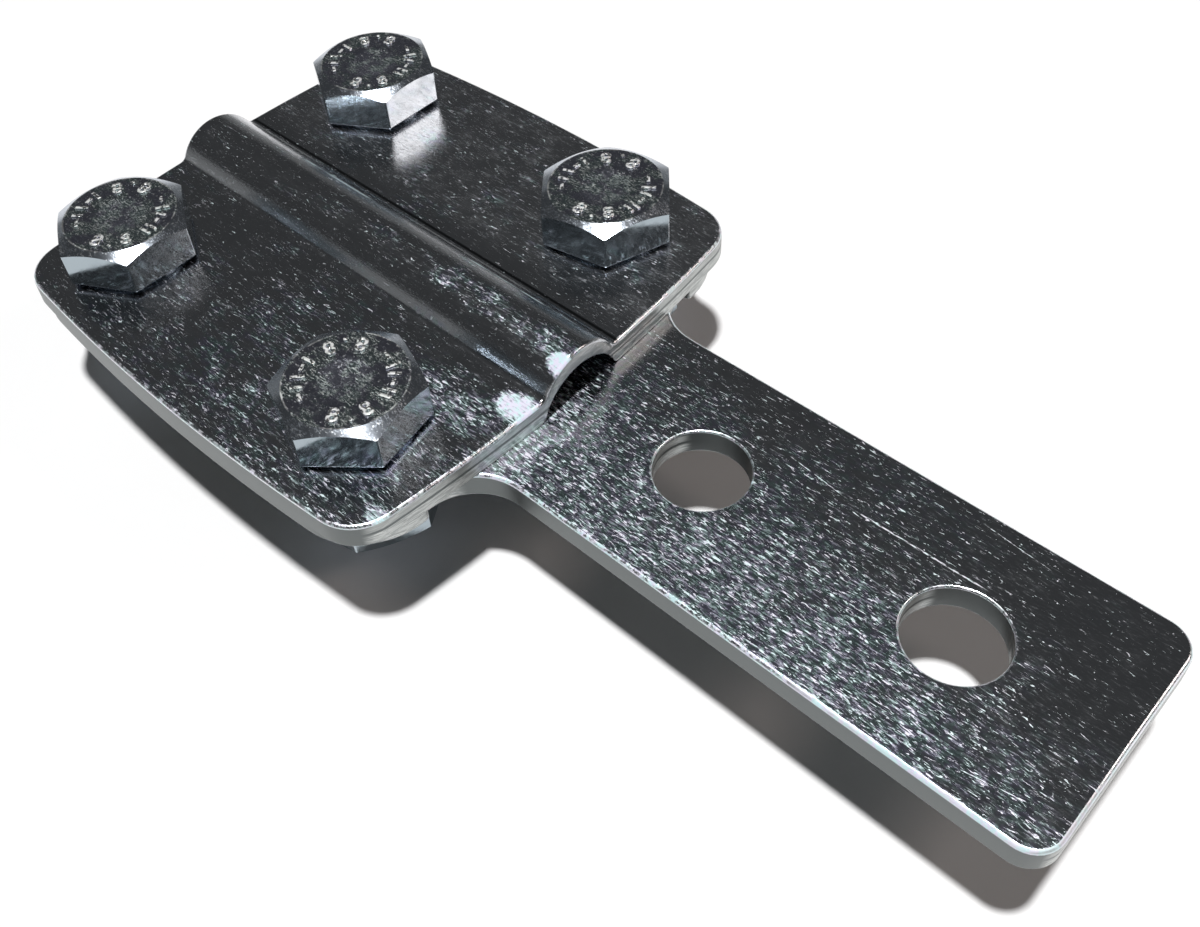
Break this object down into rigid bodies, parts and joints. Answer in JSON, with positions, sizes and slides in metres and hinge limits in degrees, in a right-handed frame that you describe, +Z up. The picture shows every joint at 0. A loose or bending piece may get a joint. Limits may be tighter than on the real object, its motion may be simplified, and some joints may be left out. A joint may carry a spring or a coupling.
{
  "type": "lightning conductor test clamp",
  "caption": "Pressed steel clamp plate with a round channel, bolted on a flat base plate with a drilled tail, for joining a round lightning conductor to a bar.",
  "frame": {"origin": "centre of the four bolts, on the upper face of the base plate, where the clamp plate rests", "axes": "+X along the conductor's channel towards the end of the tail, +Z up through the bolt heads"},
  "size_m": [0.1143, 0.0562, 0.0213],
  "materials": {
    "plate_zinc": "bright zinc plated sheet steel with fine speckle",
    "fastener_zinc": "bright zinc plated fasteners"
  },
  "bodies": {
    "base": {"base_plate": "plate_zinc", "hex_nut_1": "fastener_zinc", "hex_nut_2": "fastener_zinc", "hex_nut_3": "fastener_zinc", "hex_nut_4": "fastener_zinc"},
    "clamp": {"clamp_plate": "plate_zinc"},
    "bolt_1": {"hex_bolt_1": "fastener_zinc"},
    "bolt_2": {"hex_bolt_2": "fastener_zinc"},
    "bolt_3": {"hex_bolt_3": "fastener_zinc"},
    "bolt_4": {"hex_bolt_4": "fastener_zinc"}
  },
  "joints": [
    {"name": "clamp_lift", "type": "slide", "parent": "base", "child": "clamp", "axis": [0, 0, 1], "range_m": [0, 0.0042]},
    {"name": "bolt_turn_1", "type": "hinge", "parent": "clamp", "child": "bolt_1", "pos_m": [-0.01815, -0.0175, 0.00275], "axis": [0, 0, 1], "range_deg": [0, 1209.6]},
    {"name": "bolt_turn_2", "type": "hinge", "parent": "clamp", "child": "bolt_2", "pos_m": [-0.01815, 0.0175, 0.00275], "axis": [0, 0, 1], "range_deg": [0, 1209.6]},
    {"name": "bolt_turn_3", "type": "hinge", "parent": "clamp", "child": "bolt_3", "pos_m": [0.01815, 0.0175, 0.00275], "axis": [0, 0, 1], "range_deg": [0, 1209.6]},
    {"name": "bolt_turn_4", "type": "hinge", "parent": "clamp", "child": "bolt_4", "pos_m": [0.01815, -0.0175, 0.00275], "axis": [0, 0, 1], "range_deg": [0, 1209.6]}
  ],
  "couplings": [
    {"joint": "bolt_turn_1", "follows": "clamp_lift", "rad_per_m": 5026.5},
    {"joint": "bolt_turn_2", "follows": "clamp_lift", "rad_per_m": 5026.5},
    {"joint": "bolt_turn_3", "follows": "clamp_lift", "rad_per_m": 5026.5},
    {"joint": "bolt_turn_4", "follows": "clamp_lift", "rad_per_m": 5026.5}
  ]
}
